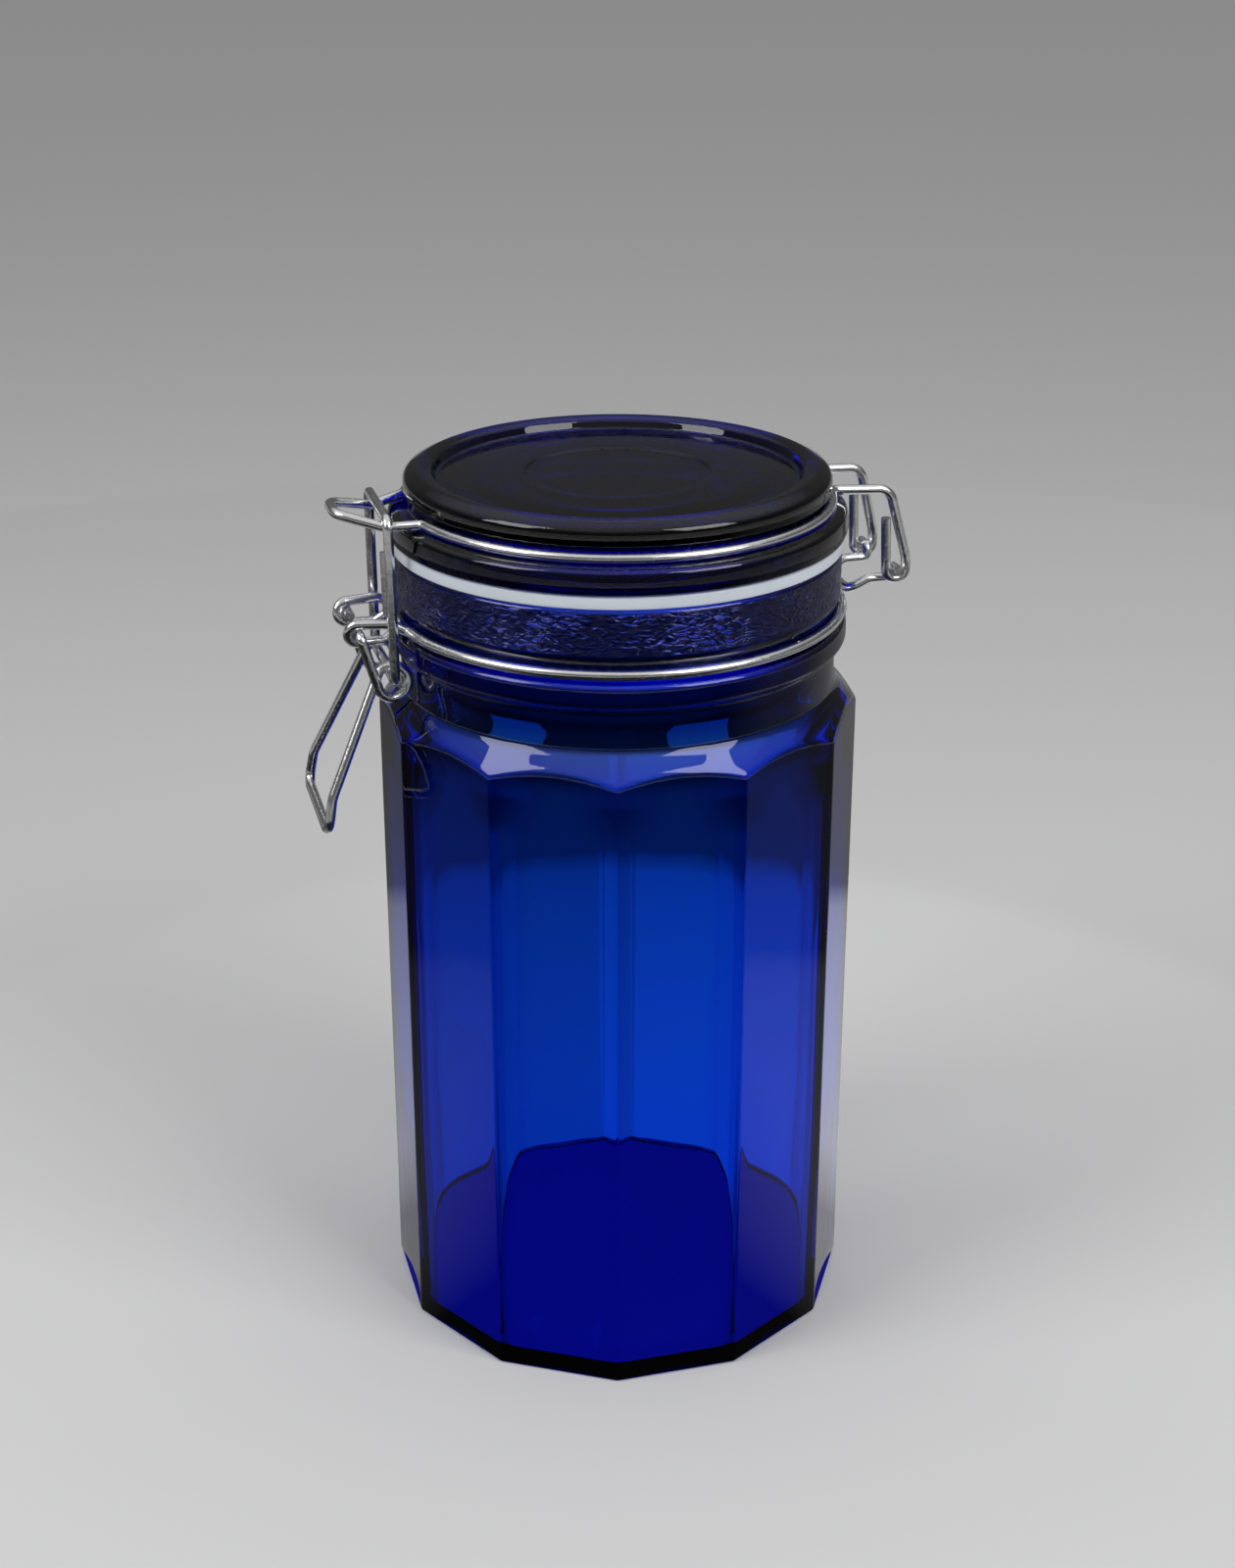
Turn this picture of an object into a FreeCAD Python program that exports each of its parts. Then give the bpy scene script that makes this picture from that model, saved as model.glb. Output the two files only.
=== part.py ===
import FreeCAD
import Part
import math
import os

# A clip-top storage jar: faceted glass body, glass lid, rubber seal and a clamp bent from steel wire.
# Millimetres. The origin is on the jar's axis at the table, +Z is up, the clamp is on the -X side and
# the hinge on the +X side. The wire parts are the same on both sides of the XZ plane.

V = FreeCAD.Vector
AXIS = V(0, 0, 1)

# ---- glass body ----
face_count = 12
base_corner_radius = 52.5      # axis to a vertical edge, at the table
mould_draft = 0.5              # how much less that is at the shoulder
shoulder_height = 142.4        # where the vertical edges meet the shoulder cone
shoulder_rise = 5.9            # height of the cone from those corners to the neck
shoulder_step = 5.4            # how far the shoulder closes in, from those corners to the neck
edge_round = 1.6               # on the vertical edges
heel_round = 0.8               # round the bottom
wall = 4.4                     # thinnest glass, at the middle of a face
floor_thickness = 2.4
inner_floor_round = 1.2
inner_shoulder_drop = 1.5      # the inside starts to close in this far below the shoulder corners
mouth_drop = 1.0               # and reaches the mouth's radius this far above the neck's foot
neck_height = 8.3              # plain neck from the shoulder to the bead
bead_proud = 2.2               # round bead under the neck's wire groove, out from the neck
bead_height = 6.4
lip_above_bead = 15.1          # wire groove and sealing band together
bead_low = (0.6, 0.22)         # arc on the bead: in from its widest, and share of its height
bead_widest = 0.62             # height of the bead's widest place, as a share
bead_high = (0.5, 0.8)         # arc on the bead's top: in from its widest, below its top
bead_foot = 0.4                # that arc ends this far above the bead's top
groove_proud = 0.1             # the neck's wire groove, out from the neck
groove_floor = 0.8             # from the bead to the wire
groove_slope = 2.3             # from the wire to the sealing band
lip_proud = 0.9                # sealing band, out from the neck
lip_round = 0.9
mouth_wall = 5.0               # glass between the neck's outside and the mouth
join_depth = 1.0               # how far solids run into each other before they're joined or cut
cone_reach = 4.0               # how far the shoulder's cone is carried on past its corners

# ---- wire ----
wire_diameter = 2.1
running_clearance = 0.08       # radial, between a wire pin and the eye round it
side_gap = 0.3                 # between wires that pass each other
seat_gap = 0.05                # between a wire and the glass groove that holds it
bend_slack = 0.02              # a U bend is made of two arcs this much tighter than half its width

# ---- seal and lid glass ----
seal_thickness = 2.8
seal_overhang = 0.5            # past the jar's lip
seal_lip_gap = 0.1             # between the seal and the jar's lip
seal_inner_gap = 0.1           # round the lid's centring ring
seal_edge_round = 0.6
plug_gap = 0.8                 # between the lid's centring ring and the mouth
plug_depth = 3.4               # how far it reaches below the flange
plug_width = 4.2
flange_overhang = 0.7          # past the seal
flange_slope = 2.5             # how far the flange's top edge lies in from its rim
flange_thickness = 5.6
flange_foot = 0.5              # the flange's underside ends this far in from the seal's edge
flange_low = ((0.2, 0.9), (0.0, 2.3))  # arc: in from the rim, above the underside
flange_high = (0.7, 1.3)       # arc: in from the rim, below the flange's top
lid_groove_height = 3.0
groove_upright = 0.8           # the groove's wall ends this far below its top
groove_mouth = ((0.35, 0.0), (0.0, 1.3))  # arc: in from the upper rim, above the groove
rim_inset = 3.7                # the lid's upper rim, in from the flange
groove_depth = 1.2             # the lid's wire groove, in from that rim
crest_inset = 4.4              # top of the rolled rim, in from its side
crest_height = 13.7            # from the flange's underside
crest_outer = (1.0, 1.2)       # arc: in from the rim's side, below the crest
crest_inner = (0.9, 0.9)       # arc: out from the sunk top, below the crest
panel_edge = (0.6, 0.2)        # the sunk top's edge: in, and above
panel_bow = 0.78               # height of the dome half way out, as a share
panel_inset = 7.0              # the sunk top, in from the rim's side
panel_height = 11.0
panel_dome = 0.9
ring_mark_radius = 19.5        # fine circular step in the top
ring_mark_step = 0.35
lid_panel_thickness = 5.6
under_chamfer = 3.0            # between the lid's underside and its centring ring
plug_chamfer = 1.0

# ---- clamp: places in the XZ plane, as distance out from the axis and height ----
pivot_clear = 10.4             # lever pivot, in the neck band's front eyes, out from the neck
pivot_drop = 0.4               # below the neck band
eye_out_half = 7.2             # half the distance between the front eyes
eye_spread = 0.4               # each eye's wire starts and ends this far either side of its middle
eye_in_half = 5.4              # where the eyes' inner wires leave the bridge between them
eye_in_slant = 0.9             # how far those wires spread on their way down
eye_in_run = 3.6
eye_in_bends = (1.4, 1.8)
eye_root_half = 9.9            # where the eyes' outer wires join the ring
eye_root_slant = 0.8
eye_root_run = 2.6
eye_root_dip = 0.1
eye_root_bends = (2.2, 1.6)
eye_root_inset = 0.7           # a ring's first bend lies this far inside the circle
ring_lead = 1.66               # along Y, from the eyes to where the ring's own circle begins
coil_clear = 4.0               # coil centre, out from the neck
coil_down = 10.5               # and down from the pivot
coil_radius = 3.3              # of the wire's centre line
handle_clear = 19.7            # cross bar, out from the neck
handle_drop = 40.7             # cross bar below the pivot
handle_half = 14.7
handle_knee_in = 1.3           # where the legs turn down, in from the cross bar
handle_knee_rise = 7.2         # and above it
handle_knee_half = 13.6
handle_bends = (2.6, 8.0)      # at the cross bar and at the knees
crank_bend = 1.4
coil_corners = 6               # of the polygon that the coil is bent from
coil_gap = 0.1                 # between its start and its end
coil_slack = 0.12              # its bends are this much tighter than its corners allow
link_coil_gap = 0.2            # between the link's lower bar and the coil above it
stub_inside = 1.6              # how far the lever's ends reach in past the eyes
nose_seat_clear = 2.1          # where the link's bar lies on the nose, out from the flange
nose_seat_half = 8.7
nose_seat_drop = 0.75          # below the lid's wire ring
nose_reach = 9.5               # from that seat to the nose's tip
nose_tip_half = 4.6
nose_tip_rise = 2.4            # above the seat
nose_bends = (3.6, 9.0, 2.2)   # at the tip, the seat and the root
nose_root_half = 11.9
nose_root_inset = 1.4          # the root's corner, in from the lid's ring
nose_root_rise = 0.2
nose_ring_lead = 1.23          # along Y, from the root to the ring's own circle
link_seat_gap = 0.2            # under the link's bar, for the slope of the nose
link_top_half = 11.9
link_bends = (1.6, 2.1)        # at the bottom and the top bar
weld_overlap = 14.0            # length of the lap weld in one link leg
weld_centre = 0.62             # its place along the leg, from the bottom
weld_sink = 0.52               # how far aside the lapped wire lies, in wire diameters
weld_press = 0.8               # the lapped wire's radius after welding, in wire radii
hinge_clear = 12.8             # hinge axis, out from the neck
hinge_below_lip = 8.4
ear_half = 7.4                 # half the distance between the hinge ears
ear_drop = 2.6                 # the ears' runs below the hinge axis
ear_run = 5.22                 # from the hinge axis back to where those runs turn down
ear_bends = (2.0, 3.0, 1.25)   # at the bar, under the run and at the pin
bar_weld = 0.12                # how deep the rear bar is welded into the band
bar_rise = 0.2                 # the rear bar above the band
pin_proud = 0.5                # how far the pins stand out past the lid arms
arm_root_half = 8.5
arm_root_inset = 0.6           # where an arm leaves the ring, in from its circle
arm_root_rise = 0.1
arm_ring_lead = 2.36           # along Y, from the arm to the ring's own circle
arm_play = 0.1                 # beyond the side gap, between a hinge ear and its arm
arm_corner_in = 1.8            # an arm's upper corner, in from the hinge axis
arm_corner_half = 8.9
arm_corner_drop = 0.5          # below the lid's wire ring
arm_knee_rise = 2.4            # where an arm turns upright, above the hinge axis
arm_bends = (2.2, 3.6, 8.0)
tail_length = 11.5             # upright wire end behind each arm
tail_lean = 0.6

# ---- worked out from the above ----
wire_radius = wire_diameter / 2
top_corner_radius = base_corner_radius - mould_draft
neck_radius = top_corner_radius - shoulder_step
neck_bottom = shoulder_height + shoulder_rise
bead_bottom = neck_bottom + neck_height
bead_top = bead_bottom + bead_height
bead_radius = neck_radius + bead_proud
lip_top = bead_top + lip_above_bead
lip_radius = neck_radius + lip_proud
mouth_radius = neck_radius - mouth_wall
seal_outer_radius = lip_radius + seal_overhang
plug_radius = mouth_radius - plug_gap
flange_radius = seal_outer_radius + flange_overhang
flange_edge_radius = flange_radius - flange_slope
rim_radius = flange_radius - rim_inset
crest_radius = rim_radius - crest_inset
panel_radius = rim_radius - panel_inset
neck_groove_radius = neck_radius + groove_proud
band_radius = neck_groove_radius + seat_gap + wire_radius
band_z = bead_top + groove_floor + wire_radius
groove_top = band_z + wire_radius + groove_slope
seal_bottom = lip_top + seal_lip_gap
flange_bottom = seal_bottom + seal_thickness
flange_top = flange_bottom + flange_thickness
lid_groove_radius = rim_radius - groove_depth
lid_ring_radius = lid_groove_radius + seat_gap + wire_radius
lid_ring_z = flange_top + seat_gap + wire_radius
eye_bend = wire_diameter + running_clearance
pivot_z = band_z - pivot_drop
pivot_out = neck_radius + pivot_clear
handle_out = neck_radius + handle_clear
handle_knee_out = handle_out - handle_knee_in
crank_half = eye_out_half + eye_spread + wire_diameter + side_gap - seat_gap
coil_out = neck_radius + coil_clear
coil_z = pivot_z - coil_down
coil_pitch = wire_diameter + coil_gap
link_pin_z = coil_z + coil_radius - wire_diameter - link_coil_gap
link_bottom_half = crank_half + wire_diameter + side_gap
nose_seat_z = lid_ring_z - nose_seat_drop
nose_seat_out = flange_radius + nose_seat_clear
nose_tip_out = nose_seat_out + nose_reach
link_top_z = nose_seat_z + wire_diameter + link_seat_gap
hinge_z = lip_top - hinge_below_lip
hinge_out = neck_radius + hinge_clear
arm_half = ear_half + wire_diameter + side_gap + arm_play


def at(out, across, height):
    """A point on the clamp side, given how far out from the axis it is."""
    return V(-out, across, height)


def mirrored(steps):
    """The same wire steps on the other side of the XZ plane, in reverse order."""
    return [(V(point.x, -point.y, point.z), bend) for point, bend in reversed(steps)]


def bent_path(steps, closed=False):
    """Straight runs joined by tangent arcs. Each step is a corner point and its bend radius."""
    count = len(steps)
    corners = range(count) if closed else range(1, count - 1)
    starts = {}
    ends = {}
    arcs = {}
    for i in corners:
        before = steps[i - 1][0]
        here, bend = steps[i]
        after = steps[(i + 1) % count][0]
        toward = (before - here).normalize()
        onward = (after - here).normalize()
        half_angle = toward.getAngle(onward) / 2
        reach = bend / math.tan(half_angle)
        middle = (toward + onward).normalize()
        starts[i] = here + toward * reach
        ends[i] = here + onward * reach
        top = here + middle * (bend / math.sin(half_angle) - bend)
        arcs[i] = Part.Arc(starts[i], top, ends[i]).toShape()
    edges = []
    for i in range(count if closed else count - 1):
        following = (i + 1) % count
        run_start = ends.get(i, steps[i][0])
        run_end = starts.get(following, steps[following][0])
        if (run_end - run_start).Length > 0.001:
            edges.append(Part.LineSegment(run_start, run_end).toShape())
        if following in arcs:
            edges.append(arcs[following])
    return Part.Wire(edges)


def bent_wire(steps, closed=False):
    """A round wire along a bent path, as one solid."""
    path = bent_path(steps, closed)
    first = path.Edges[0]
    start = first.valueAt(first.FirstParameter)
    direction = first.tangentAt(first.FirstParameter)
    section = Part.Face(Part.Wire(Part.makeCircle(wire_radius, start, direction)))
    shape = path.makePipe(section)
    solid = shape if shape.ShapeType == "Solid" else shape.Solids[0]
    expected = section.Area * path.Length
    print("  wire %.1f mm long, volume off by %.2f%%" % (path.Length, 100 * (solid.Volume / expected - 1)))
    return solid


def ring_steps(radius, height, first_angle, last_angle, turns):
    """Corners of a polygon round a circle, so that bends of the circle's radius follow it exactly."""
    step = (last_angle - first_angle) / turns
    steps = []
    for k in range(turns):
        angle = math.radians(first_angle + (k + 0.5) * step)
        reach = radius / math.cos(math.radians(step / 2))
        steps.append((V(reach * math.cos(angle), reach * math.sin(angle), height), radius))
    return steps


def revolved(points):
    """A solid turned about Z from a closed outline of (radius, height) points and ready-made edges."""
    edges = []
    last = None
    for item in points:
        if isinstance(item, tuple):
            here = V(item[0], 0, item[1])
            if last is not None:
                edges.append(Part.LineSegment(last, here).toShape())
            last = here
        else:
            middle, end = item
            arc_end = V(end[0], 0, end[1])
            edges.append(Part.Arc(last, V(middle[0], 0, middle[1]), arc_end).toShape())
            last = arc_end
    start = V(points[0][0], 0, points[0][1])
    if (last - start).Length > 0.0001:
        edges.append(Part.LineSegment(last, start).toShape())
    return Part.Face(Part.Wire(edges)).revolve(V(0, 0, 0), AXIS, 360)


def round_corner(centre_radius, centre_height, size, from_degrees, to_degrees):
    """An arc in an outline, as its middle and end points."""
    middle = math.radians((from_degrees + to_degrees) / 2)
    end = math.radians(to_degrees)
    return [(centre_radius + size * math.cos(middle), centre_height + size * math.sin(middle)),
            (centre_radius + size * math.cos(end), centre_height + size * math.sin(end))]


def facet_ring(corner_radius, height):
    """The body's outline. A face, not an edge, points at the clamp."""
    corners = []
    for k in range(face_count + 1):
        angle = math.radians((k + 0.5) * 360 / face_count)
        corners.append(V(corner_radius * math.cos(angle), corner_radius * math.sin(angle), height))
    return Part.makePolygon(corners)


def make_jar_body():
    half_face = math.radians(180 / face_count)
    inner_radius = top_corner_radius * math.cos(half_face) - wall
    prism_top = neck_bottom + join_depth
    draft = mould_draft / shoulder_height
    prism = Part.makeLoft([facet_ring(base_corner_radius, 0),
                           facet_ring(base_corner_radius - draft * prism_top, prism_top)], True, True)
    upright = [e for e in prism.Edges if abs(e.tangentAt(e.FirstParameter).z) > 0.9]
    prism = prism.makeFillet(edge_round, upright)
    bottom = [e for e in prism.Edges if e.BoundBox.ZMax < 0.01]
    prism = prism.makeFillet(heel_round, bottom)
    # the shoulder cone and neck cut the prism, so each face ends in a low arch
    cone_slope = (top_corner_radius - neck_radius) / shoulder_rise
    cone_foot = shoulder_height - cone_reach
    outside = base_corner_radius + cone_reach
    envelope = revolved([(0, -join_depth), (outside, -join_depth), (outside, cone_foot),
                         (top_corner_radius + cone_reach * cone_slope, cone_foot), (neck_radius, neck_bottom),
                         (0, neck_bottom)])
    body = prism.common(envelope)
    # neck: cylinder, bead, wire groove, sealing band and rounded lip
    neck_foot = neck_bottom - join_depth
    bead_middle = bead_bottom + bead_height * bead_widest
    neck = revolved([(0, neck_foot), (neck_radius, neck_foot), (neck_radius, bead_bottom),
                     [(bead_radius - bead_low[0], bead_bottom + bead_height * bead_low[1]),
                      (bead_radius, bead_middle)],
                     [(bead_radius - bead_high[0], bead_top - bead_high[1]),
                      (neck_groove_radius, bead_top + bead_foot)],
                     (neck_groove_radius, band_z + wire_radius), (lip_radius, groove_top),
                     (lip_radius, lip_top - lip_round),
                     round_corner(lip_radius - lip_round, lip_top - lip_round, lip_round, 0, 90),
                     (0, lip_top)])
    shoulder_inside = shoulder_height - inner_shoulder_drop
    mouth_bottom = neck_bottom + mouth_drop
    over = lip_top + join_depth
    cavity = revolved([(0, floor_thickness), (inner_radius - inner_floor_round, floor_thickness),
                       round_corner(inner_radius - inner_floor_round, floor_thickness + inner_floor_round,
                                    inner_floor_round, -90, 0),
                       (inner_radius, shoulder_inside), (mouth_radius, mouth_bottom),
                       (mouth_radius, lip_top - lip_round),
                       round_corner(mouth_radius + lip_round, lip_top - lip_round, lip_round, 180, 90),
                       (mouth_radius + lip_round, over), (0, over)])
    return body.fuse(neck).removeSplitter().cut(cavity)


def make_lid_glass():
    crest_z = flange_bottom + crest_height
    panel_z = flange_bottom + panel_height
    under_z = panel_z + panel_dome - lid_panel_thickness
    plug_z = flange_bottom - plug_depth
    groove_z = flange_top + lid_groove_height
    dome_z = panel_z + panel_dome
    plug_inner = plug_radius - plug_width
    mark_radius = ring_mark_radius - ring_mark_step
    underside = [(0, under_z), (plug_inner - under_chamfer, under_z), (plug_inner, under_z - under_chamfer),
                 (plug_inner, plug_z + plug_chamfer), (plug_inner + plug_chamfer, plug_z),
                 (plug_radius - plug_chamfer, plug_z), (plug_radius, plug_z + plug_chamfer),
                 (plug_radius, flange_bottom), (seal_outer_radius - flange_foot, flange_bottom)]
    flange = [[(flange_radius - inset, flange_bottom + rise) for inset, rise in flange_low],
              [(flange_radius - flange_high[0], flange_top - flange_high[1]), (flange_edge_radius, flange_top)],
              (lid_groove_radius, flange_top), (lid_groove_radius, groove_z - groove_upright)]
    rim = [[(rim_radius - inset, groove_z + rise) for inset, rise in groove_mouth],
           [(rim_radius - crest_outer[0], crest_z - crest_outer[1]), (crest_radius, crest_z)],
           [(panel_radius + crest_inner[0], crest_z - crest_inner[1]), (panel_radius, panel_z + panel_edge[1])]]
    top = [(panel_radius - panel_edge[0], panel_z),
           [((panel_radius + ring_mark_radius) / 2, panel_z + panel_dome * panel_bow), (ring_mark_radius, dome_z)],
           (mark_radius, dome_z - ring_mark_step), (0, dome_z - ring_mark_step)]
    return revolved(underside + flange + rim + top)


def make_gasket():
    inner_radius = plug_radius + seal_inner_gap
    round_size = seal_edge_round
    return revolved([(inner_radius, seal_bottom), (seal_outer_radius - round_size, seal_bottom),
                     round_corner(seal_outer_radius - round_size, seal_bottom + round_size, round_size, -90, 0),
                     (seal_outer_radius, flange_bottom - round_size),
                     round_corner(seal_outer_radius - round_size, flange_bottom - round_size, round_size, 0, 90),
                     (inner_radius, flange_bottom)])


def circle_start(radius, half, lead):
    """The angle, in degrees back from +X or -X, at which a ring's own circle begins."""
    return math.degrees(math.asin((half + lead) / radius))


def make_neck_band():
    """One closed wire: the ring in the neck's groove, bent out into two hairpin eyes at the front."""
    low = pivot_z - eye_bend
    high = pivot_z + eye_bend
    front = pivot_out + eye_bend
    bridge_out = band_radius + seat_gap
    tip_bend = eye_bend - bend_slack
    eye = [(at(bridge_out, eye_in_half, band_z), eye_in_bends[0]),
           (at(bridge_out + eye_in_run, eye_in_half + eye_in_slant, low), eye_in_bends[1]),
           (at(front, eye_out_half - eye_spread, low), tip_bend),
           (at(front, eye_out_half + eye_spread, high), tip_bend),
           (at(bridge_out + eye_root_run, eye_root_half - eye_root_slant, high - eye_root_dip),
            eye_root_bends[0]),
           (at(band_radius - eye_root_inset, eye_root_half, band_z), eye_root_bends[1])]
    start = 180 - circle_start(band_radius, eye_root_half, ring_lead)
    ring = ring_steps(band_radius, band_z, start, 0, 3) + ring_steps(band_radius, band_z, 0, -start, 3)
    far_side = [(V(point.x, -point.y, point.z), bend) for point, bend in eye]
    return bent_wire(eye + ring + far_side[::-1], closed=True)


def make_hinge_wire():
    """The rear bracket: a bar welded across the band's back, two runs out and a pin turned out of each end."""
    bar_out = band_radius + wire_diameter - bar_weld
    run_z = hinge_z - ear_drop
    pin_end = arm_half + wire_radius + pin_proud
    side = [(V(bar_out, ear_half, band_z + bar_rise), ear_bends[0]),
            (V(hinge_out - ear_run, ear_half, run_z), ear_bends[1]),
            (V(hinge_out, ear_half, run_z), ear_bends[2]),
            (V(hinge_out, ear_half, hinge_z), ear_bends[2]),
            (V(hinge_out, pin_end, hinge_z), 0)]
    return bent_wire(mirrored(side) + side)


def make_lid_wire():
    """The lid's wire: the front nose, the ring in the lid's groove, and two arms that hook the hinge pins."""
    hook = eye_bend
    hook_z = hinge_z - hook
    nose = [(at(nose_tip_out, nose_tip_half, nose_seat_z + nose_tip_rise), nose_bends[0]),
            (at(nose_seat_out, nose_seat_half, nose_seat_z), nose_bends[1]),
            (at(lid_ring_radius - nose_root_inset, nose_root_half, lid_ring_z + nose_root_rise), nose_bends[2])]
    front = 180 - circle_start(lid_ring_radius, nose_root_half, nose_ring_lead)
    back = circle_start(lid_ring_radius, arm_root_half, arm_ring_lead)
    ring = ring_steps(lid_ring_radius, lid_ring_z, front, back, 3)
    arm = [(V(lid_ring_radius - arm_root_inset, arm_root_half, lid_ring_z + arm_root_rise), arm_bends[0]),
           (V(hinge_out - arm_corner_in, arm_corner_half, lid_ring_z - arm_corner_drop), arm_bends[1]),
           (V(hinge_out + hook, arm_half, hinge_z + arm_knee_rise), arm_bends[2]),
           (V(hinge_out + hook, arm_half, hook_z), hook - bend_slack),
           (V(hinge_out - hook, arm_half, hook_z), hook - bend_slack),
           (V(hinge_out - hook - tail_lean, arm_half, hinge_z + tail_length), 0)]
    side = nose + ring + arm
    return bent_wire(mirrored(side) + side)


def coil_steps():
    """The lever's coil on one side: down from the crank, once round, and out along the handle's leg."""
    coil_in = pivot_out - coil_out
    reach = math.hypot(coil_in, coil_down)
    crank_slope = math.degrees(math.atan2(-coil_down, -coil_in) + math.asin(coil_radius / reach))
    knee_rise = pivot_z - handle_drop + handle_knee_rise - coil_z
    leg_reach = math.hypot(handle_knee_out - coil_out, knee_rise)
    leg_slope = math.degrees(math.atan2(knee_rise, handle_knee_out - coil_out)
                             - math.asin(coil_radius / leg_reach))
    turn = crank_slope + 360 - leg_slope
    steps = []
    for k in range(coil_corners):
        heading = crank_slope - (k + 0.5) * turn / coil_corners
        outward = math.radians(heading + 90)
        size = coil_radius / math.cos(math.radians(turn / coil_corners / 2))
        across = crank_half - coil_pitch * k / (coil_corners - 1)
        steps.append((at(coil_out + size * math.cos(outward), across, coil_z + size * math.sin(outward)),
                      coil_radius - coil_slack))
    return steps


def make_lever_wire():
    """The handle: one wire from pivot to pivot, with a crank, a coil and a leg on each side."""
    stub_end = eye_out_half - eye_spread - wire_radius - stub_inside
    bar_z = pivot_z - handle_drop
    side = [(at(handle_out, handle_half, bar_z), handle_bends[0]),
            (at(handle_knee_out, handle_knee_half, bar_z + handle_knee_rise), handle_bends[1])]
    side += coil_steps()[::-1]
    side += [(at(pivot_out, crank_half, pivot_z), crank_bend), (at(pivot_out, stub_end, pivot_z), 0)]
    return bent_wire(mirrored(side) + side)


def make_link_wire():
    """The tall loop that the lever pulls down over the nose. One leg has the lap weld."""
    loop = []
    for across in (1, -1):
        low = at(coil_out, across * link_bottom_half, link_pin_z)
        high = at(nose_seat_out, across * link_top_half, link_top_z)
        ends = [(low, link_bends[0]), (high, link_bends[1])]
        loop += ends if across > 0 else ends[::-1]
    body = bent_wire(loop, closed=True)
    # lap weld: the wire's other end lies beside the leg that faces the viewer, on its outer side
    low = at(coil_out, -link_bottom_half, link_pin_z)
    high = at(nose_seat_out, -link_top_half, link_top_z)
    along = (high - low).normalize()
    middle = low + (high - low) * weld_centre
    aside = V(1, 0, 0) * (wire_diameter * weld_sink)
    start = middle - along * (weld_overlap / 2) - aside
    lap = Part.makeCylinder(wire_radius * weld_press, weld_overlap, start, along)
    return body.fuse(lap)


makers = {
    "jar_body": make_jar_body,
    "lid_glass": make_lid_glass,
    "gasket": make_gasket,
    "neck_band": make_neck_band,
    "hinge_wire": make_hinge_wire,
    "lid_wire": make_lid_wire,
    "lever_wire": make_lever_wire,
    "link_wire": make_link_wire,
}

os.makedirs("parts", exist_ok=True)
for name, maker in makers.items():
    shape = maker()
    box = shape.BoundBox
    print("%s: %d solid, valid %s, %.1f cm3, X %.2f..%.2f Y %.2f..%.2f Z %.2f..%.2f" % (
        name, len(shape.Solids), shape.isValid(), shape.Volume / 1000,
        box.XMin, box.XMax, box.YMin, box.YMax, box.ZMin, box.ZMax))
    shape.exportStep("parts/" + name + ".step")
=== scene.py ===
import math

import bmesh
import bpy
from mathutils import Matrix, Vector


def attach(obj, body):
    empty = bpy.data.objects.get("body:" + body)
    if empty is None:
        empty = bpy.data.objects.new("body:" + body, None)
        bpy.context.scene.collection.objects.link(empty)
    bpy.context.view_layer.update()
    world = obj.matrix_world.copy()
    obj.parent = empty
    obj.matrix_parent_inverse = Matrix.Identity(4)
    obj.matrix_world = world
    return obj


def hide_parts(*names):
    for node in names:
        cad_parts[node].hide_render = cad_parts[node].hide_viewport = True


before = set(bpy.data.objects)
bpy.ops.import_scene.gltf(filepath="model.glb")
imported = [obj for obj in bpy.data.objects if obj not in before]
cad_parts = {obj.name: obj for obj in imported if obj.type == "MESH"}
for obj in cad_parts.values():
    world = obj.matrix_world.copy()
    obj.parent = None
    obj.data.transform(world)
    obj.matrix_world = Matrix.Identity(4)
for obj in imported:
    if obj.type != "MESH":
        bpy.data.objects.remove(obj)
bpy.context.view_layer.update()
mm = 0.001
far = 400.0  # a radius or distance that limits nothing, in mm
meshTidy = {
    "mergeGap": 1e-6,
    "thinEdge": 1e-7,
    "flatSides": 9,  # a face with this many sides or more is a cut end, and stays flat
}
print("frame loaded:", ", ".join(sorted(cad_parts)))


class Num:
    # a number socket that sums can be written with
    def __init__(self, bench, socket):
        self.bench = bench
        self.socket = socket

    def maths(self, operation, *terms):
        made = self.bench.add("ShaderNodeMath", {"operation": operation}, dict(enumerate(terms)))
        return Num(self.bench, made.outputs[0])

    def __add__(self, other):
        return self.maths("ADD", self, other)

    def __sub__(self, other):
        return self.maths("SUBTRACT", self, other)

    def __rsub__(self, other):
        return self.maths("SUBTRACT", other, self)

    def __mul__(self, other):
        return self.maths("MULTIPLY", self, other)

    def __truediv__(self, other):
        return self.maths("DIVIDE", self, other)

    def __rtruediv__(self, other):
        return self.maths("DIVIDE", other, self)

    def __pow__(self, other):
        return self.maths("POWER", self, other)

    def __lt__(self, other):
        return self.maths("LESS_THAN", self, other)

    def __gt__(self, other):
        return self.maths("GREATER_THAN", self, other)

    __radd__ = __add__
    __rmul__ = __mul__

    def of(self, operation, *more):
        return self.maths(operation, self, *more)


class Bench:
    # one node tree and the only way nodes are put into it
    def __init__(self, tree):
        self.tree = tree

    def add(self, kind, settings=None, inputs=None):
        made = self.tree.nodes.new(kind)
        for name, value in (settings or {}).items():
            if name == "stops":
                ramp = made.color_ramp
                while len(ramp.elements) < len(value):
                    ramp.elements.new(0.5)
                for element, (place, colour) in zip(ramp.elements, value):
                    element.position = place
                    element.color = (*colour, 1)
            else:
                setattr(made, name, value)
        for key, value in (inputs or {}).items():
            value = value.socket if isinstance(value, Num) else value
            if isinstance(value, bpy.types.NodeSocket):
                self.tree.links.new(value, made.inputs[key])
            else:
                made.inputs[key].default_value = value
        return made

    def num(self, kind, settings=None, inputs=None, output=0):
        return Num(self, self.add(kind, settings, inputs).outputs[output])

    def out(self, kind, settings=None, inputs=None, output=0):
        return self.add(kind, settings, inputs).outputs[output]


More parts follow.
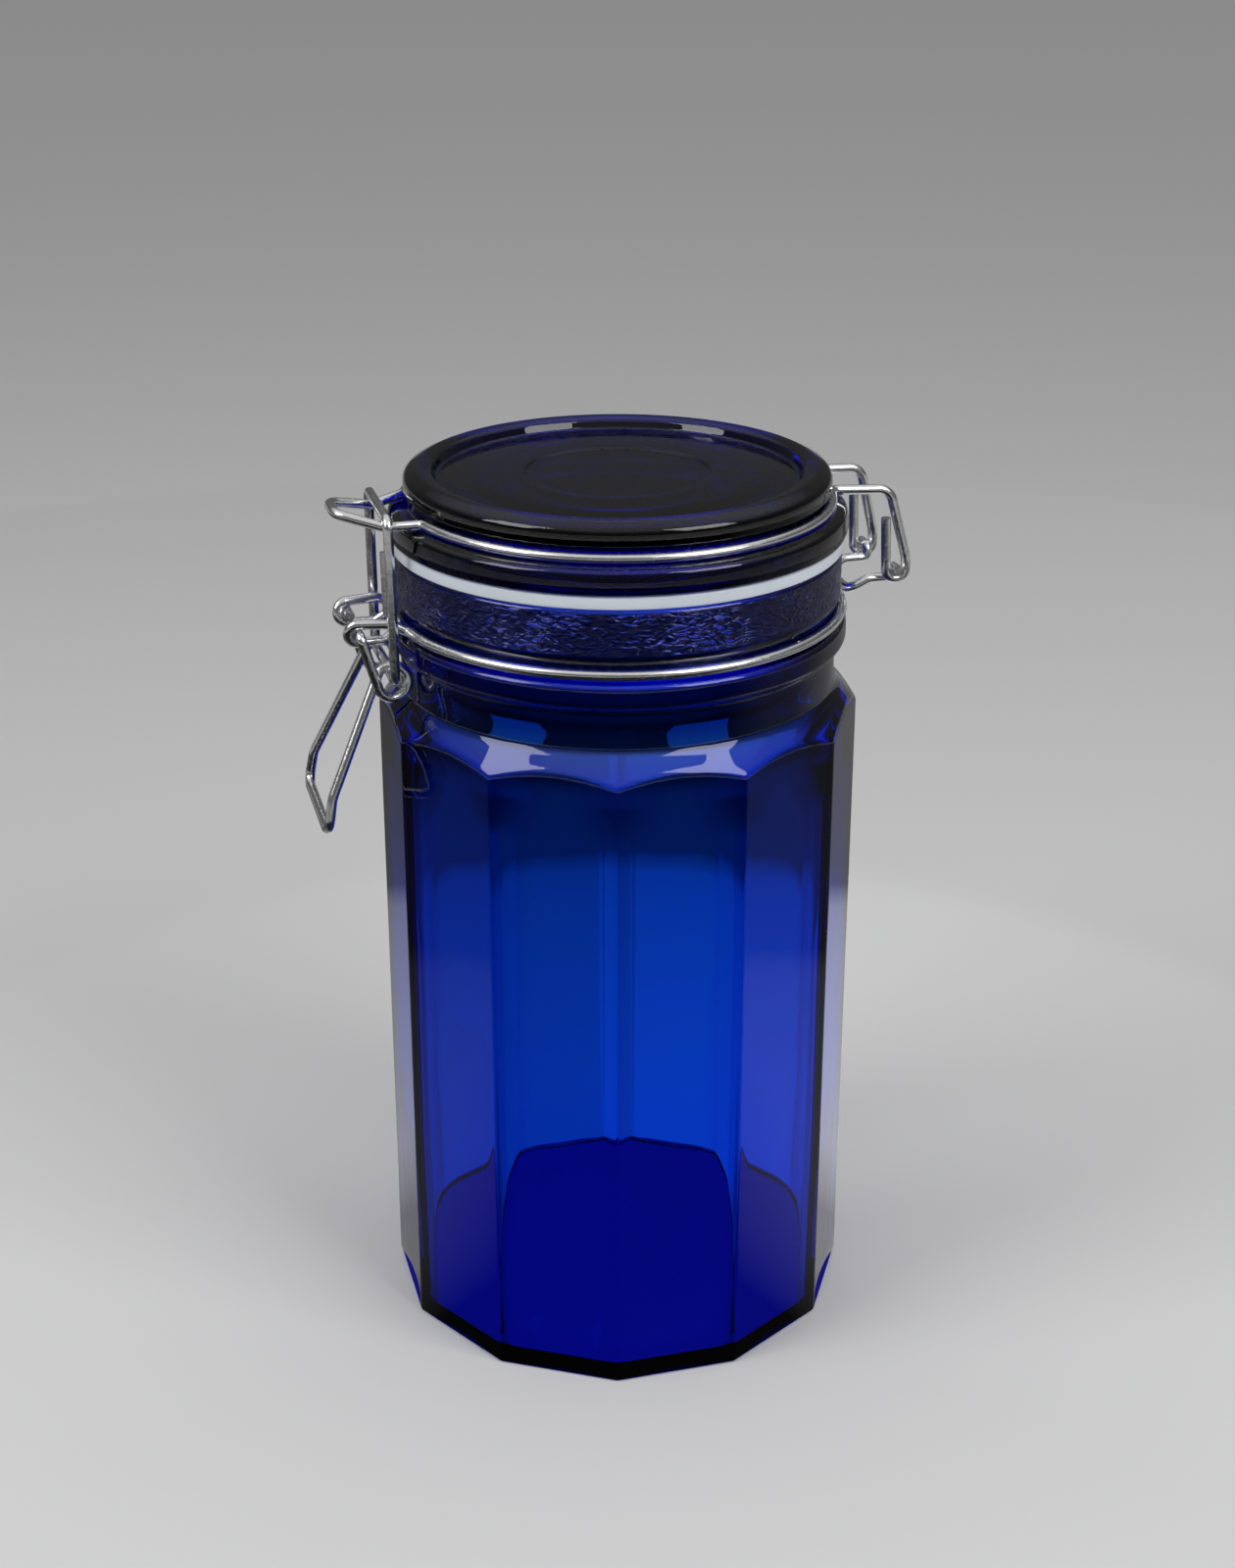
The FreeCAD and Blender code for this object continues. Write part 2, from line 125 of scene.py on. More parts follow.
def geometryTree(name, sizes):
    # an empty Geometry Nodes tree with named inputs; sizes maps a name to (socket type, value)
    tree = bpy.data.node_groups.new(name, "GeometryNodeTree")
    tree.interface.new_socket("Geometry", in_out="INPUT", socket_type="NodeSocketGeometry")
    for label, (kind, value) in sizes.items():
        socket = tree.interface.new_socket(label, in_out="INPUT", socket_type=kind)
        if value is not None:
            socket.default_value = value
    tree.interface.new_socket("Geometry", in_out="OUTPUT", socket_type="NodeSocketGeometry")
    bench = Bench(tree)
    return bench, bench.add("NodeGroupInput").outputs


def endTree(bench, geometry, material):
    # every tree ends the same way
    solid = bench.out("GeometryNodeRealizeInstances", inputs={0: geometry})
    shown = bench.out("GeometryNodeSetMaterial", inputs={0: solid, 2: material})
    bench.add("NodeGroupOutput", inputs={0: shown})
    return bench.tree


def baked(seed, tree, sizes, name, material):
    # runs a tree on a seed object and keeps the result as a plain mesh
    modifier = seed.modifiers.new("make", "NODES")
    modifier.node_group = tree
    sockets = {item.name: item.identifier for item in tree.interface.items_tree if item.in_out == "INPUT"}
    for label, value in {**sizes, "Material": material}.items():
        modifier[sockets[label]] = value
    seed.update_tag()
    bpy.context.view_layer.update()
    evaluated = seed.evaluated_get(bpy.context.evaluated_depsgraph_get())
    mesh = bpy.data.meshes.new_from_object(evaluated)
    seed.modifiers.remove(modifier)
    bpy.data.objects.remove(seed)
    return tidied(mesh, name, material)


def tidied(mesh, name, material):
    # faces outwards, smooth, with flat cut ends
    work = bmesh.new()
    work.from_mesh(mesh)
    bmesh.ops.remove_doubles(work, verts=work.verts, dist=meshTidy["mergeGap"])
    bmesh.ops.dissolve_degenerate(work, edges=work.edges, dist=meshTidy["thinEdge"])
    bmesh.ops.recalc_face_normals(work, faces=work.faces)
    for face in work.faces:
        face.smooth = len(face.verts) < meshTidy["flatSides"]
        if not face.smooth:
            for edge in face.edges:
                edge.smooth = False
    loose = sum(1 for edge in work.edges if not edge.is_manifold)
    work.to_mesh(mesh)
    volume = work.calc_volume() / (10 * mm) ** 3
    print("  %s: %d faces, %d open edges, %.1f cm3" % (name, len(mesh.polygons), loose, volume))
    work.free()
    mesh.name = name
    mesh.materials.clear()
    mesh.materials.append(material)
    piece = bpy.data.objects.new(name, mesh)
    bpy.context.scene.collection.objects.link(piece)
    return piece


def seedLine(name, points, closed=False, **values):
    # vertices joined in order, with named numbers on them
    mesh = bpy.data.meshes.new(name)
    count = len(points)
    joins = [(i, (i + 1) % count) for i in range(count if closed else count - 1)]
    mesh.from_pydata([[c * mm for c in point] for point in points], joins, [])
    for label, numbers in values.items():
        mesh.attributes.new(label, "FLOAT", "POINT").data.foreach_set("value", [float(n) for n in numbers])
    seed = bpy.data.objects.new(name, mesh)
    bpy.context.scene.collection.objects.link(seed)
    return seed


def placed(piece, body, slotName, *nodes):
    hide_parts(*nodes)
    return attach(piece, body)


def newMaterial(name):
    material = bpy.data.materials.new(name)
    material.use_nodes = True
    material.node_tree.nodes.clear()
    return material, Bench(material.node_tree)


cobaltGlass = {
    "ior": 1.52,
    "absorbed": (0.05, 0.55, 0.95, 1),
    "density": 640.0,
    "rough": 0.012,
    "smudge": 0.05,
    "smudgeScale": 38.0,
    "smudgeFrom": 0.52,
    "waveScale": 55.0,
    "waveHeight": 0.00006,
    "wrinkleScale": 420.0,
    "wrinkleHeight": 0.0045,
    "wrinkleZone": (0.1686, 0.1772),  # the sealing band, in metres up the jar
    "wrinkleOut": 0.0465,
    "wrinkleRough": 0.3,
    "wrinkleFlat": (1.0, 1.0, 2.1),  # the ridges run round the band
    "patchScale": 60.0,
    "patchFrom": 0.35,
    "patchGain": 2.5,
    "patchLeast": 0.1,
}


def makeGlass(s, name):
    material, b = newMaterial(name)
    place = b.out("ShaderNodeTexCoord", output="Object")
    smudge = b.num("ShaderNodeTexNoise", inputs={
        "Vector": place, "Scale": s["smudgeScale"], "Detail": 5.0, "Roughness": 0.6})
    wave = b.num("ShaderNodeTexNoise", inputs={"Vector": place, "Scale": s["waveScale"], "Detail": 1.5})
    # chill wrinkles run round the sealing band in short ragged ridges
    stretched = b.out("ShaderNodeMapping", inputs={"Vector": place, "Scale": s["wrinkleFlat"]})
    ridges = b.num("ShaderNodeTexNoise", {"noise_type": "RIDGED_MULTIFRACTAL", "normalize": True},
                   {"Vector": stretched, "Scale": s["wrinkleScale"], "Detail": 3.0, "Roughness": 0.55,
                    "Distortion": 0.7})
    x, y, z = [Num(b, socket) for socket in b.add("ShaderNodeSeparateXYZ", inputs={0: place}).outputs]
    low, high = s["wrinkleZone"]
    inZone = (z > low) * (z < high) * ((x * x + y * y).of("SQRT") > s["wrinkleOut"])
    patches = b.num("ShaderNodeTexNoise", inputs={"Vector": place, "Scale": s["patchScale"], "Detail": 2.0})
    wrinkles = ridges * inZone * ((patches - s["patchFrom"]) * s["patchGain"]).of("MAXIMUM", s["patchLeast"])
    smears = (smudge - s["smudgeFrom"]).of("MAXIMUM", 0.0) * s["smudge"]
    rough = smears + s["rough"] + inZone * s["wrinkleRough"]
    soft = b.out("ShaderNodeBump", inputs={"Strength": 1.0, "Distance": s["waveHeight"], "Height": wave})
    bump = b.out("ShaderNodeBump", inputs={
        "Strength": 1.0, "Distance": s["wrinkleHeight"], "Height": wrinkles, "Normal": soft})
    shader = b.out("ShaderNodeBsdfPrincipled", inputs={
        "Base Color": (1, 1, 1, 1), "Roughness": rough, "IOR": s["ior"], "Transmission Weight": 1.0,
        "Normal": bump})
    depth = b.out("ShaderNodeVolumeAbsorption", inputs={"Color": s["absorbed"], "Density": s["density"]})
    b.add("ShaderNodeOutputMaterial", inputs={"Surface": shader, "Volume": depth})
    return material


steelWire = {
    "colour": (0.90, 0.90, 0.91, 1),
    "dull": (0.66, 0.67, 0.69, 1),
    "rough": 0.2,
    "roughSpread": 0.22,
    "drawn": (1.0, 1.0, 0.02),  # streaks run along the wire
    "streakScale": 4200.0,
    "streakRough": 0.12,
    "streakHeight": 0.00003,
    "spangleScale": 480.0,
    "spangleGain": 2.2,
    "dullShare": 0.6,
}


def makeSteel(s):
    material, b = newMaterial("steelWire")
    along = b.out("ShaderNodeAttribute", {"attribute_name": "straightened"}, output="Vector")
    drawn = b.out("ShaderNodeMapping", inputs={"Vector": along, "Scale": s["drawn"]})
    streaks = b.num("ShaderNodeTexNoise", inputs={"Vector": drawn, "Scale": s["streakScale"], "Detail": 3.0})
    place = b.out("ShaderNodeTexCoord", output="Object")
    spangle = b.num("ShaderNodeTexNoise", inputs={"Vector": place, "Scale": s["spangleScale"], "Detail": 3.0})
    blotch = ((spangle - 0.5) * s["spangleGain"]).of("ABSOLUTE")
    colour = b.out("ShaderNodeMix", {"data_type": "RGBA"},
                   {0: (blotch * s["dullShare"]).of("MINIMUM", 1.0), 6: s["colour"], 7: s["dull"]}, output=2)
    rough = s["rough"] + blotch * s["roughSpread"] + (streaks - 0.5) * s["streakRough"]
    bump = b.out("ShaderNodeBump", inputs={"Strength": 0.6, "Distance": s["streakHeight"],
                                           "Height": streaks + blotch})
    shader = b.out("ShaderNodeBsdfPrincipled", inputs={
        "Base Color": colour, "Metallic": 1.0, "Roughness": rough, "Normal": bump})
    b.add("ShaderNodeOutputMaterial", inputs={"Surface": shader})
    return material


sealRubber = {
    "colour": (0.82, 0.87, 0.92, 1),
    "shade": (0.68, 0.74, 0.82, 1),
    "rough": 0.36,
    "roughSpread": 0.2,
    "cloudScale": 70.0,
    "grainScale": 1500.0,
    "grain": 0.00006,
    "coat": 0.15,
    "scatter": 0.25,
    "scatterColour": (0.9, 1.0, 1.1),
    "scatterDepth": 0.0012,
}


def makeRubber(s):
    material, b = newMaterial("sealRubber")
    place = b.out("ShaderNodeTexCoord", output="Object")
    cloud = b.num("ShaderNodeTexNoise", inputs={"Vector": place, "Scale": s["cloudScale"], "Detail": 4.0})
    grain = b.num("ShaderNodeTexNoise", inputs={"Vector": place, "Scale": s["grainScale"], "Detail": 2.0})
    colour = b.out("ShaderNodeMix", {"data_type": "RGBA"},
                   {0: cloud, 6: s["colour"], 7: s["shade"]}, output=2)
    bump = b.out("ShaderNodeBump", inputs={"Strength": 0.7, "Distance": s["grain"], "Height": grain})
    shader = b.out("ShaderNodeBsdfPrincipled", inputs={
        "Base Color": colour, "Roughness": s["rough"] + (cloud - 0.5) * s["roughSpread"],
        "Subsurface Weight": s["scatter"], "Subsurface Radius": s["scatterColour"],
        "Subsurface Scale": s["scatterDepth"], "Coat Weight": s["coat"], "Normal": bump})
    b.add("ShaderNodeOutputMaterial", inputs={"Surface": shader})
    return material


# painted shade: a darker copy of the cobalt glass for the lid, standing in for the dark surroundings seen
# through its layers of glass
lidShadeGlass = {**cobaltGlass, "density": 1700.0}

glass = makeGlass(cobaltGlass, "cobaltGlass")
lidShadeMaterial = makeGlass(lidShadeGlass, "lidCobaltGlassWithPaintedShade")
steel = makeSteel(steelWire)
rubber = makeRubber(sealRubber)
print("materials made")


def makeTurnedTree():
    # an outline turned round the axis, with flats where the outline says so
    b, given = geometryTree("facetedTurning", {
        "Faces": ("NodeSocketInt", 12),
        "Columns": ("NodeSocketInt", 24),
        "Blend": ("NodeSocketFloat", 0.0012),
        "Wave Size": ("NodeSocketFloat", 18.0),
        "Wave Height": ("NodeSocketFloat", 0.0001),
        "Seed": ("NodeSocketFloat", 0.0),
        "Material": ("NodeSocketMaterial", None)})
    outline = given["Geometry"]
    faces, perFace = Num(b, given["Faces"]), Num(b, given["Columns"])
    rows = b.num("GeometryNodeAttributeDomainSize", inputs={0: outline})
    grid = b.out("GeometryNodeMeshGrid", inputs={2: faces * perFace + 1, 3: rows})
    index = b.num("GeometryNodeInputIndex")
    row = index.of("MODULO", rows)
    column = (index / rows).of("FLOOR")
    # numbers of this row of the outline
    height = b.out("GeometryNodeInputPosition")
    spot = b.out("GeometryNodeSampleIndex", {"data_type": "FLOAT_VECTOR"}, {0: outline, 1: height, 2: row})
    z = Num(b, b.add("ShaderNodeSeparateXYZ", inputs={0: spot}).outputs[2])

    def rowNumber(label):
        named = b.out("GeometryNodeInputNamedAttribute", {"data_type": "FLOAT"}, {0: label})
        return b.num("GeometryNodeSampleIndex", {"data_type": "FLOAT"}, {0: outline, 1: named, 2: row})

    across, bend, limit, wave = [rowNumber(label) for label in ("across", "bend", "limit", "wave")]
    # columns crowd towards the upright edges
    share = (column / perFace).of("FRACT")
    face = (column / perFace).of("FLOOR")
    half = math.pi / faces
    fromEdge = (1 - (share * 2 - 1).of("ABSOLUTE")) ** 2 * half
    turn = (face * 2 + 1) * half + half + (share * 2 - 1).of("SIGN") * (half - fromEdge)
    # distance out to a flat face with a rounded edge
    flat = across / (half - fromEdge).of("COSINE")
    core = (across - bend) / half.of("COSINE")
    inside = (bend * bend - (core * fromEdge.of("SINE")) ** 2).of("MAXIMUM", 0.0)
    rounded = core * fromEdge.of("COSINE") + inside.of("SQRT")
    edgeEnd = half - ((across - bend) * half.of("TANGENT")).of("ARCTAN2", across)
    faceted = flat + (fromEdge < edgeEnd) * (rounded - flat)
    out = faceted.of("SMOOTH_MIN", limit, Num(b, given["Blend"]))
    # the unevenness of blown glass
    start = b.out("ShaderNodeCombineXYZ", inputs={
        0: out * turn.of("COSINE"), 1: out * turn.of("SINE"), 2: z})
    noise = b.num("ShaderNodeTexNoise", {"noise_dimensions": "4D"}, {
        "Vector": start, "W": given["Seed"], "Scale": given["Wave Size"], "Detail": 1.0})
    uneven = out + (noise - 0.5) * Num(b, given["Wave Height"]) * 2 * wave
    end = b.out("ShaderNodeCombineXYZ", inputs={
        0: uneven * turn.of("COSINE"), 1: uneven * turn.of("SINE"), 2: z})
    shaped = b.out("GeometryNodeSetPosition", inputs={0: grid, 2: end})
    merged = b.out("GeometryNodeMergeByDistance", inputs={0: shaped, 2: 2 * meshTidy["mergeGap"]})
    return endTree(b, merged, given["Material"])


def outlinePoints(corners, spacing=3.0, fine=9, closed=False):
    # corner points (r, z, bend) joined by straight runs and arcs, as a list of (r, z)
    count = len(corners)
    line = []
    for i, (r, z, bend) in enumerate(corners):
        here = Vector((r, z))
        if bend <= 0 or (not closed and i in (0, count - 1)):
            line.append(here)
            continue
        toward = (Vector(corners[i - 1][:2]) - here).normalized()
        onward = (Vector(corners[(i + 1) % count][:2]) - here).normalized()
        half = toward.angle(onward) / 2
        middle = here + (toward + onward).normalized() * (bend / math.sin(half))
        start = here + toward * (bend / math.tan(half)) - middle
        end = here + onward * (bend / math.tan(half)) - middle
        sweep = start.angle_signed(end)
        steps = max(2, round(fine * abs(sweep) / (math.pi / 2)))
        for k in range(steps + 1):
            turn = -sweep * k / steps
            line.append(middle + Vector((start.x * math.cos(turn) - start.y * math.sin(turn),
                                         start.x * math.sin(turn) + start.y * math.cos(turn))))
    if closed:
        line.append(line[0])
    points = [line[0]]
    for there in line[1:]:
        here = points[-1]
        gap = (there - here).length
        if gap < 0.01:
            continue
        parts = max(1, math.ceil(gap / spacing))
        points += [here.lerp(there, (k + 1) / parts) for k in range(parts)]
    return points


turning = makeTurnedTree()

jarGlass = {
    "edgeAcross": 52.48 * math.cos(math.pi / 12),  # axis to a face, at the table
    "draft": 0.5 * math.cos(math.pi / 12) / 142.4,
    "edgeBend": 1.6,
    "heel": 0.8,
    "topCorner": 52.0,
    "shoulder": 142.4,
    "neckStart": 148.3,
    "neck": 46.6,
    "wall": 4.4,
    "floor": 2.42,
    "innerBend": 12.0,
    "innerHeel": 1.2,
    "mouth": 41.6,
    "lipTop": 178.1,
    "hollow": [(0, 0.5), (12, 0.5), (24, 0.5), (34, 0.46), (37, 0.25), (39.5, 0.05), (41, 0)],  # the underside
    "seat": 2.5,  # the flat ring it stands on
    "leastBend": 0.35,
    "archesFrom": 134.0,
    "coneEnd": 147.5,
    "coneMargin": 4,
    "neckLine": [(46.6, 148.6, 1.5), (46.6, 157.0, 2.2), (48.9, 158.3, 1.7), (48.8, 162.9, 1.5),
                 (46.7, 163.3, 0.5), (46.7, 166.0, 0.5), (47.45, 168.2, 0.5)],
    "lipRadius": 47.45,
    "lipBends": (1.3, 1.0),
    "mouthFoot": (153.0, 5.0),
    "insideLine": [(141.6, 9.0), (136.0, 0)],
    "insideInset": 0.3,
    "settleFrom": 60,  # below this the wall thickens towards the floor
    "settle": 0.8,
    "floorDome": 0.5,
    "floorShares": (0.85, 0.65, 0.45, 0.25, 0.1, 0.0),
    "softening": 0.2,
    "neckSpacing": 1.4,
    "mouthZone": (44, 163.5),  # radius and height below which the neck's inside is wavier
    "neckWaves": (0.4, 1.5),
    "insideWaves": (4, 3, 1),  # how uneven the inside is: wall, heel and floor
    "heelRows": 8,
    "sideRows": 25,
    "coneRows": 27,
    "insideRows": 33,
    "innerHeelRows": 10,
    "columns": 26,
    "wave": 0.00002,
    "seed": 3.1,
}


def jarRows(s):
    rows = []  # (across, bend, limit, z, wave)
    slope = (s["topCorner"] - s["neck"]) / (s["neckStart"] - s["shoulder"])
    across, heel, bend = s["edgeAcross"], s["heel"], s["edgeBend"]

    def coneAt(z):
        return s["topCorner"] - (z - s["shoulder"]) * slope if z > s["shoulder"] - s["coneMargin"] else far

    def settleAt(z):
        return max(0.0, 1 - z / s["settleFrom"]) ** 2 * s["settle"]

    # underside, slightly hollow, and the rounded heel
    for r, z in s["hollow"]:
        rows.append((far, 1, r, z, 0))
    rows.append((across - heel - s["seat"], 1, far, 0, 0))
    for k in range(s["heelRows"] + 1):
        turn = math.radians(-90 + 90 * k / s["heelRows"])
        inset = heel * (1 - math.cos(turn))
        rows.append((across - inset, max(bend - inset, s["leastBend"]), far, heel * (1 + math.sin(turn)), 0))
    # flat sides, then the cone that cuts them into arches
    for k in range(1, s["sideRows"] + 1):
        z = heel + (s["archesFrom"] - heel) * k / s["sideRows"]
        rows.append((across - s["draft"] * z, bend, far, z, 1))
    for k in range(1, s["coneRows"] + 1):
        z = s["archesFrom"] + (s["coneEnd"] - s["archesFrom"]) * k / s["coneRows"]
        rows.append((across - s["draft"] * z, bend, coneAt(z), z, 1))
    # neck, bead, wire groove, sealing band and lip, then down the inside
    innerAcross = across - s["wall"]
    outside = [(coneAt(s["coneEnd"]), s["coneEnd"], 0)] + s["neckLine"]
    lip = [(s["lipRadius"], s["lipTop"], s["lipBends"][0]), (s["mouth"], s["lipTop"], s["lipBends"][1])]
    inside = [(s["mouth"], *s["mouthFoot"])]
    inside += [(innerAcross - s["insideInset"], z, turn) for z, turn in s["insideLine"]]
    mouthRadius, mouthHeight = s["mouthZone"]
    for point in outlinePoints(outside + lip + inside, spacing=s["neckSpacing"])[1:]:
        inMouth = point.x < mouthRadius and point.y <= mouthHeight
        rows.append((far, 1, point.x, point.y, s["neckWaves"][inMouth]))
    # inside of the body, where the flats are softer, then the inner heel and the floor
    innerHeel, innerBend = s["innerHeel"], s["innerBend"]
    innerTop, innerFoot = s["insideLine"][-1][0], s["floor"] + innerHeel
    for k in range(1, s["insideRows"] + 1):
        z = innerTop + (innerFoot - innerTop) * k / s["insideRows"]
        rows.append((innerAcross - s["draft"] * z - settleAt(z), innerBend, far, z, s["insideWaves"][0]))
    low = innerAcross - s["draft"] * innerFoot - settleAt(innerFoot)
    for k in range(1, s["innerHeelRows"] + 1):
        part = k / s["innerHeelRows"]
        turn = math.radians(90 * part)
        rows.append((low - innerHeel * (1 - math.cos(turn)), innerBend * (1 - s["softening"] * part), far,
                     s["floor"] + innerHeel * (1 - math.sin(turn)), s["insideWaves"][1]))
    for share in s["floorShares"]:
        rows.append(((low - innerHeel) * share, innerBend * (1 - s["softening"]) * share, far,
                     s["floor"] + s["floorDome"] * (1 - share), s["insideWaves"][2]))
    return rows


def turned(name, rows, material, columns, wave, seed):
    across, bend, limit, heights, waves = zip(*rows)
    line = seedLine(name + "Outline", [(0, 0, z) for z in heights],
                    across=[a * mm for a in across], bend=[c * mm for c in bend],
                    limit=[r * mm for r in limit], wave=waves)
    return baked(line, turning, {"Columns": columns, "Wave Height": wave, "Seed": seed}, name, material)


jar = turned("jarGlass", jarRows(jarGlass), glass, jarGlass["columns"], jarGlass["wave"], jarGlass["seed"])
placed(jar, "jar", "blue_glass", "jar_body")
print("jar glass made")

lidGlass = {
    "underside": [(0, 187.3, 0), (33.6, 187.3, 2.5), (36.6, 184.0, 1.5), (36.6, 177.65, 0.95),
                  (40.75, 177.65, 0.95), (40.75, 181.05, 0.4)],
    "flange": [(48.25, 181.05, 0.7), (48.68, 182.9, 1.2), (48.2, 186.0, 1.3), (46.0, 186.6, 0.6),
               (43.8, 186.6, 0.5), (43.8, 189.2, 0.6), (44.95, 190.0, 0.9), (44.9, 193.3, 1.9),
               (41.9, 194.7, 2.2), (38.9, 194.2, 1.2), (38.1, 192.1, 0.8)],
    "top": [(28.75, 192.75, 30), (19.7, 192.92, 0.25), (19.25, 192.5, 0.25), (8, 192.45, 40),
            (0, 192.42, 0)],
    "columns": 24,
    "wave": 0.00004,
    "seed": 8.4,
}
lidLine = outlinePoints(lidGlass["underside"] + lidGlass["flange"] + lidGlass["top"], spacing=2.2, fine=7)
lidRows = [(far, 1, point.x, point.y, 1.0) for point in lidLine]
lid = turned("lidGlass", lidRows, lidShadeMaterial, lidGlass["columns"], lidGlass["wave"], lidGlass["seed"])
placed(lid, "lid", "blue_glass", "lid_glass")
print("lid glass made")

sealRing = {
    "section": [(40.95, 178.22, 0.5), (47.97, 178.22, 0.6), (47.97, 180.98, 0.6), (40.95, 180.98, 0.5)],
    "columns": 20,
    "wave": 0.00008,
    "seed": 5.7,
}
sealLine = outlinePoints(sealRing["section"], spacing=1.6, fine=4, closed=True)
sealRows = [(far, 1, point.x, point.y, 0.6) for point in sealLine]
seal = turned("sealRing", sealRows, rubber, sealRing["columns"], sealRing["wave"], sealRing["seed"])
placed(seal, "lid", "seal_rubber", "gasket")
print("seal made")


def makeWireTree():
    b, given = geometryTree("bentWire", {
        "Radius": ("NodeSocketFloat", 0.00105),
        "Sides": ("NodeSocketInt", 20),
        "Material": ("NodeSocketMaterial", None)})
    corners = b.out("GeometryNodeMeshToCurve", inputs={0: given["Geometry"]})
    bend = b.num("GeometryNodeInputNamedAttribute", {"data_type": "FLOAT"}, {0: "bend"})
    steps = b.num("GeometryNodeInputNamedAttribute", {"data_type": "FLOAT"}, {0: "steps"})
    path = b.out("GeometryNodeFilletCurve", {"mode": "POLY"}, {0: corners, 1: steps, 2: bend, 3: True})
    # the wire as if straightened, so that drawing marks can follow it
    length = b.out("GeometryNodeSplineParameter", output="Length")
    kept = b.add("GeometryNodeCaptureAttribute", {"domain": "POINT"}, {0: path})
    kept.capture_items.new("FLOAT", "length")
    b.tree.links.new(length, kept.inputs[1])
    ring = b.out("GeometryNodeCurvePrimitiveCircle", inputs={0: given["Sides"], 4: given["Radius"]})
    section = b.add("GeometryNodeCaptureAttribute", {"domain": "POINT"}, {0: ring})
    section.capture_items.new("VECTOR", "side")
    b.tree.links.new(b.out("GeometryNodeInputPosition"), section.inputs[1])
    swept = b.out("GeometryNodeCurveToMesh", inputs={
        0: kept.outputs[0], 1: section.outputs[0], "Fill Caps": True})
    side = b.add("ShaderNodeSeparateXYZ", inputs={0: section.outputs[1]}).outputs
    straight = b.out("ShaderNodeCombineXYZ", inputs={0: side[0], 1: side[1], 2: kept.outputs[1]})
    marked = b.out("GeometryNodeStoreNamedAttribute", {"data_type": "FLOAT_VECTOR", "domain": "POINT"},
                   {0: swept, 2: "straightened", 3: straight})
    return endTree(b, marked, given["Material"])


bentWire = makeWireTree()
wire = {
    "radius": 1.05,
    "ringBend": 20,  # bends wider than this are rings, and get more steps
    "ringSteps": 44,
    "bendSteps": 12,
}


def wirePiece(name, corners, closed, body, *nodes):
    # corners are (x, y, z, bend) in mm
    points = [corner[:3] for corner in corners]
    bends = [corner[3] for corner in corners]
    steps = [wire["ringSteps"] if bend > wire["ringBend"] else wire["bendSteps"] for bend in bends]
    seed = seedLine(name + "Path", points, closed, bend=[bend * mm for bend in bends], steps=steps)
    piece = baked(seed, bentWire, {"Radius": wire["radius"] * mm}, name, steel)
    return placed(piece, body, "steel_wire", *nodes)


def bothSides(half):
    # a half wire and its mirror across the XZ plane
    return [(x, -y, z, bend) for x, y, z, bend in reversed(half)] + half


neckBand = {
    "eye": [(-47.85, 5.4, 164.85, 1.4), (-51.45, 6.3, 162.27, 1.8), (-59.18, 6.8, 162.27, 2.16),
            (-59.18, 7.6, 166.63, 2.16), (-50.45, 9.1, 166.53, 2.2), (-47.1, 9.9, 164.85, 1.6)],
    "ring": [(-40.318, 35.88, 164.85, 47.8), (6.577, 53.569, 164.85, 47.8), (47.8, 25.06, 164.85, 47.8)],
}
halfBand = neckBand["eye"] + neckBand["ring"]
bandCorners = halfBand + [(x, -y, z, bend) for x, y, z, bend in reversed(halfBand)]
wirePiece("neckBandWire", bandCorners, True, "jar", "neck_band")

hingeBracket = {
    "half": [(49.78, 7.4, 165.05, 2.0), (54.18, 7.4, 167.1, 3.0), (59.4, 7.4, 167.1, 1.25),
             (59.4, 7.4, 169.7, 1.25), (59.4, 11.45, 169.7, 0)],
}
wirePiece("hingeBracketWire", bothSides(hingeBracket["half"]), False, "jar", "hinge_wire")

lidWire = {
    "half": [(-60.3, 4.6, 189.35, 3.6), (-50.8, 8.7, 186.95, 9.0), (-43.5, 11.9, 187.9, 2.2),
             (-36.863, 32.998, 187.7, 44.9), (1.295, 49.458, 187.7, 44.9), (38.54, 31.024, 187.7, 44.9),
             (44.3, 8.5, 187.8, 2.2), (57.6, 8.9, 187.2, 3.6), (61.58, 9.9, 172.1, 8.0),
             (61.58, 9.9, 167.52, 2.17), (57.22, 9.9, 167.52, 2.17), (56.62, 9.9, 181.2, 0)],
}
wirePiece("lidWire", bothSides(lidWire["half"]), False, "lid", "lid_wire")

leverWire = {
    "half": [(-66.3, 14.7, 123.75, 2.6), (-65.0, 13.6, 130.95, 8.0), (-52.889, 7.75, 156.845, 3.18),
             (-49.654, 8.19, 157.517, 3.18), (-47.177, 8.63, 155.33, 3.18), (-47.444, 9.07, 152.037, 3.18),
             (-50.241, 9.51, 150.277, 3.18), (-53.326, 9.95, 151.462, 3.18), (-57.0, 9.95, 164.45, 1.4),
             (-57.0, 4.15, 164.45, 0)],
}
wirePiece("leverWire", bothSides(leverWire["half"]), False, "lever", "lever_wire")

linkWire = {
    "loop": [(-50.6, 12.35, 154.95, 1.6), (-50.8, 11.9, 189.25, 2.1), (-50.8, -11.9, 189.25, 2.1),
             (-50.6, -12.35, 154.95, 1.6)],
}
wirePiece("linkWire", linkWire["loop"], True, "link", "link_wire")

lapWeld = {
    "foot": (-51.75, -12.155, 169.3),
    "top": (-51.83, -11.975, 182.9),
    "radius": 0.84,
    "shares": (0, 0.03, 0.08, 0.92, 0.97, 1.0),
}


def lapPiece(s):
    # the wire's other end, welded to the side of one leg
    foot, top = Vector(s["foot"]), Vector(s["top"])
    points = [foot.lerp(top, share) for share in s["shares"]]
    seed = seedLine("lapWeldPath", points, False, bend=[0.0] * len(points), steps=[1] * len(points))
    piece = baked(seed, bentWire, {"Radius": s["radius"] * mm}, "lapWeld", steel)
    return placed(piece, "link", "steel_wire")


lapPiece(lapWeld)
print("wires made")


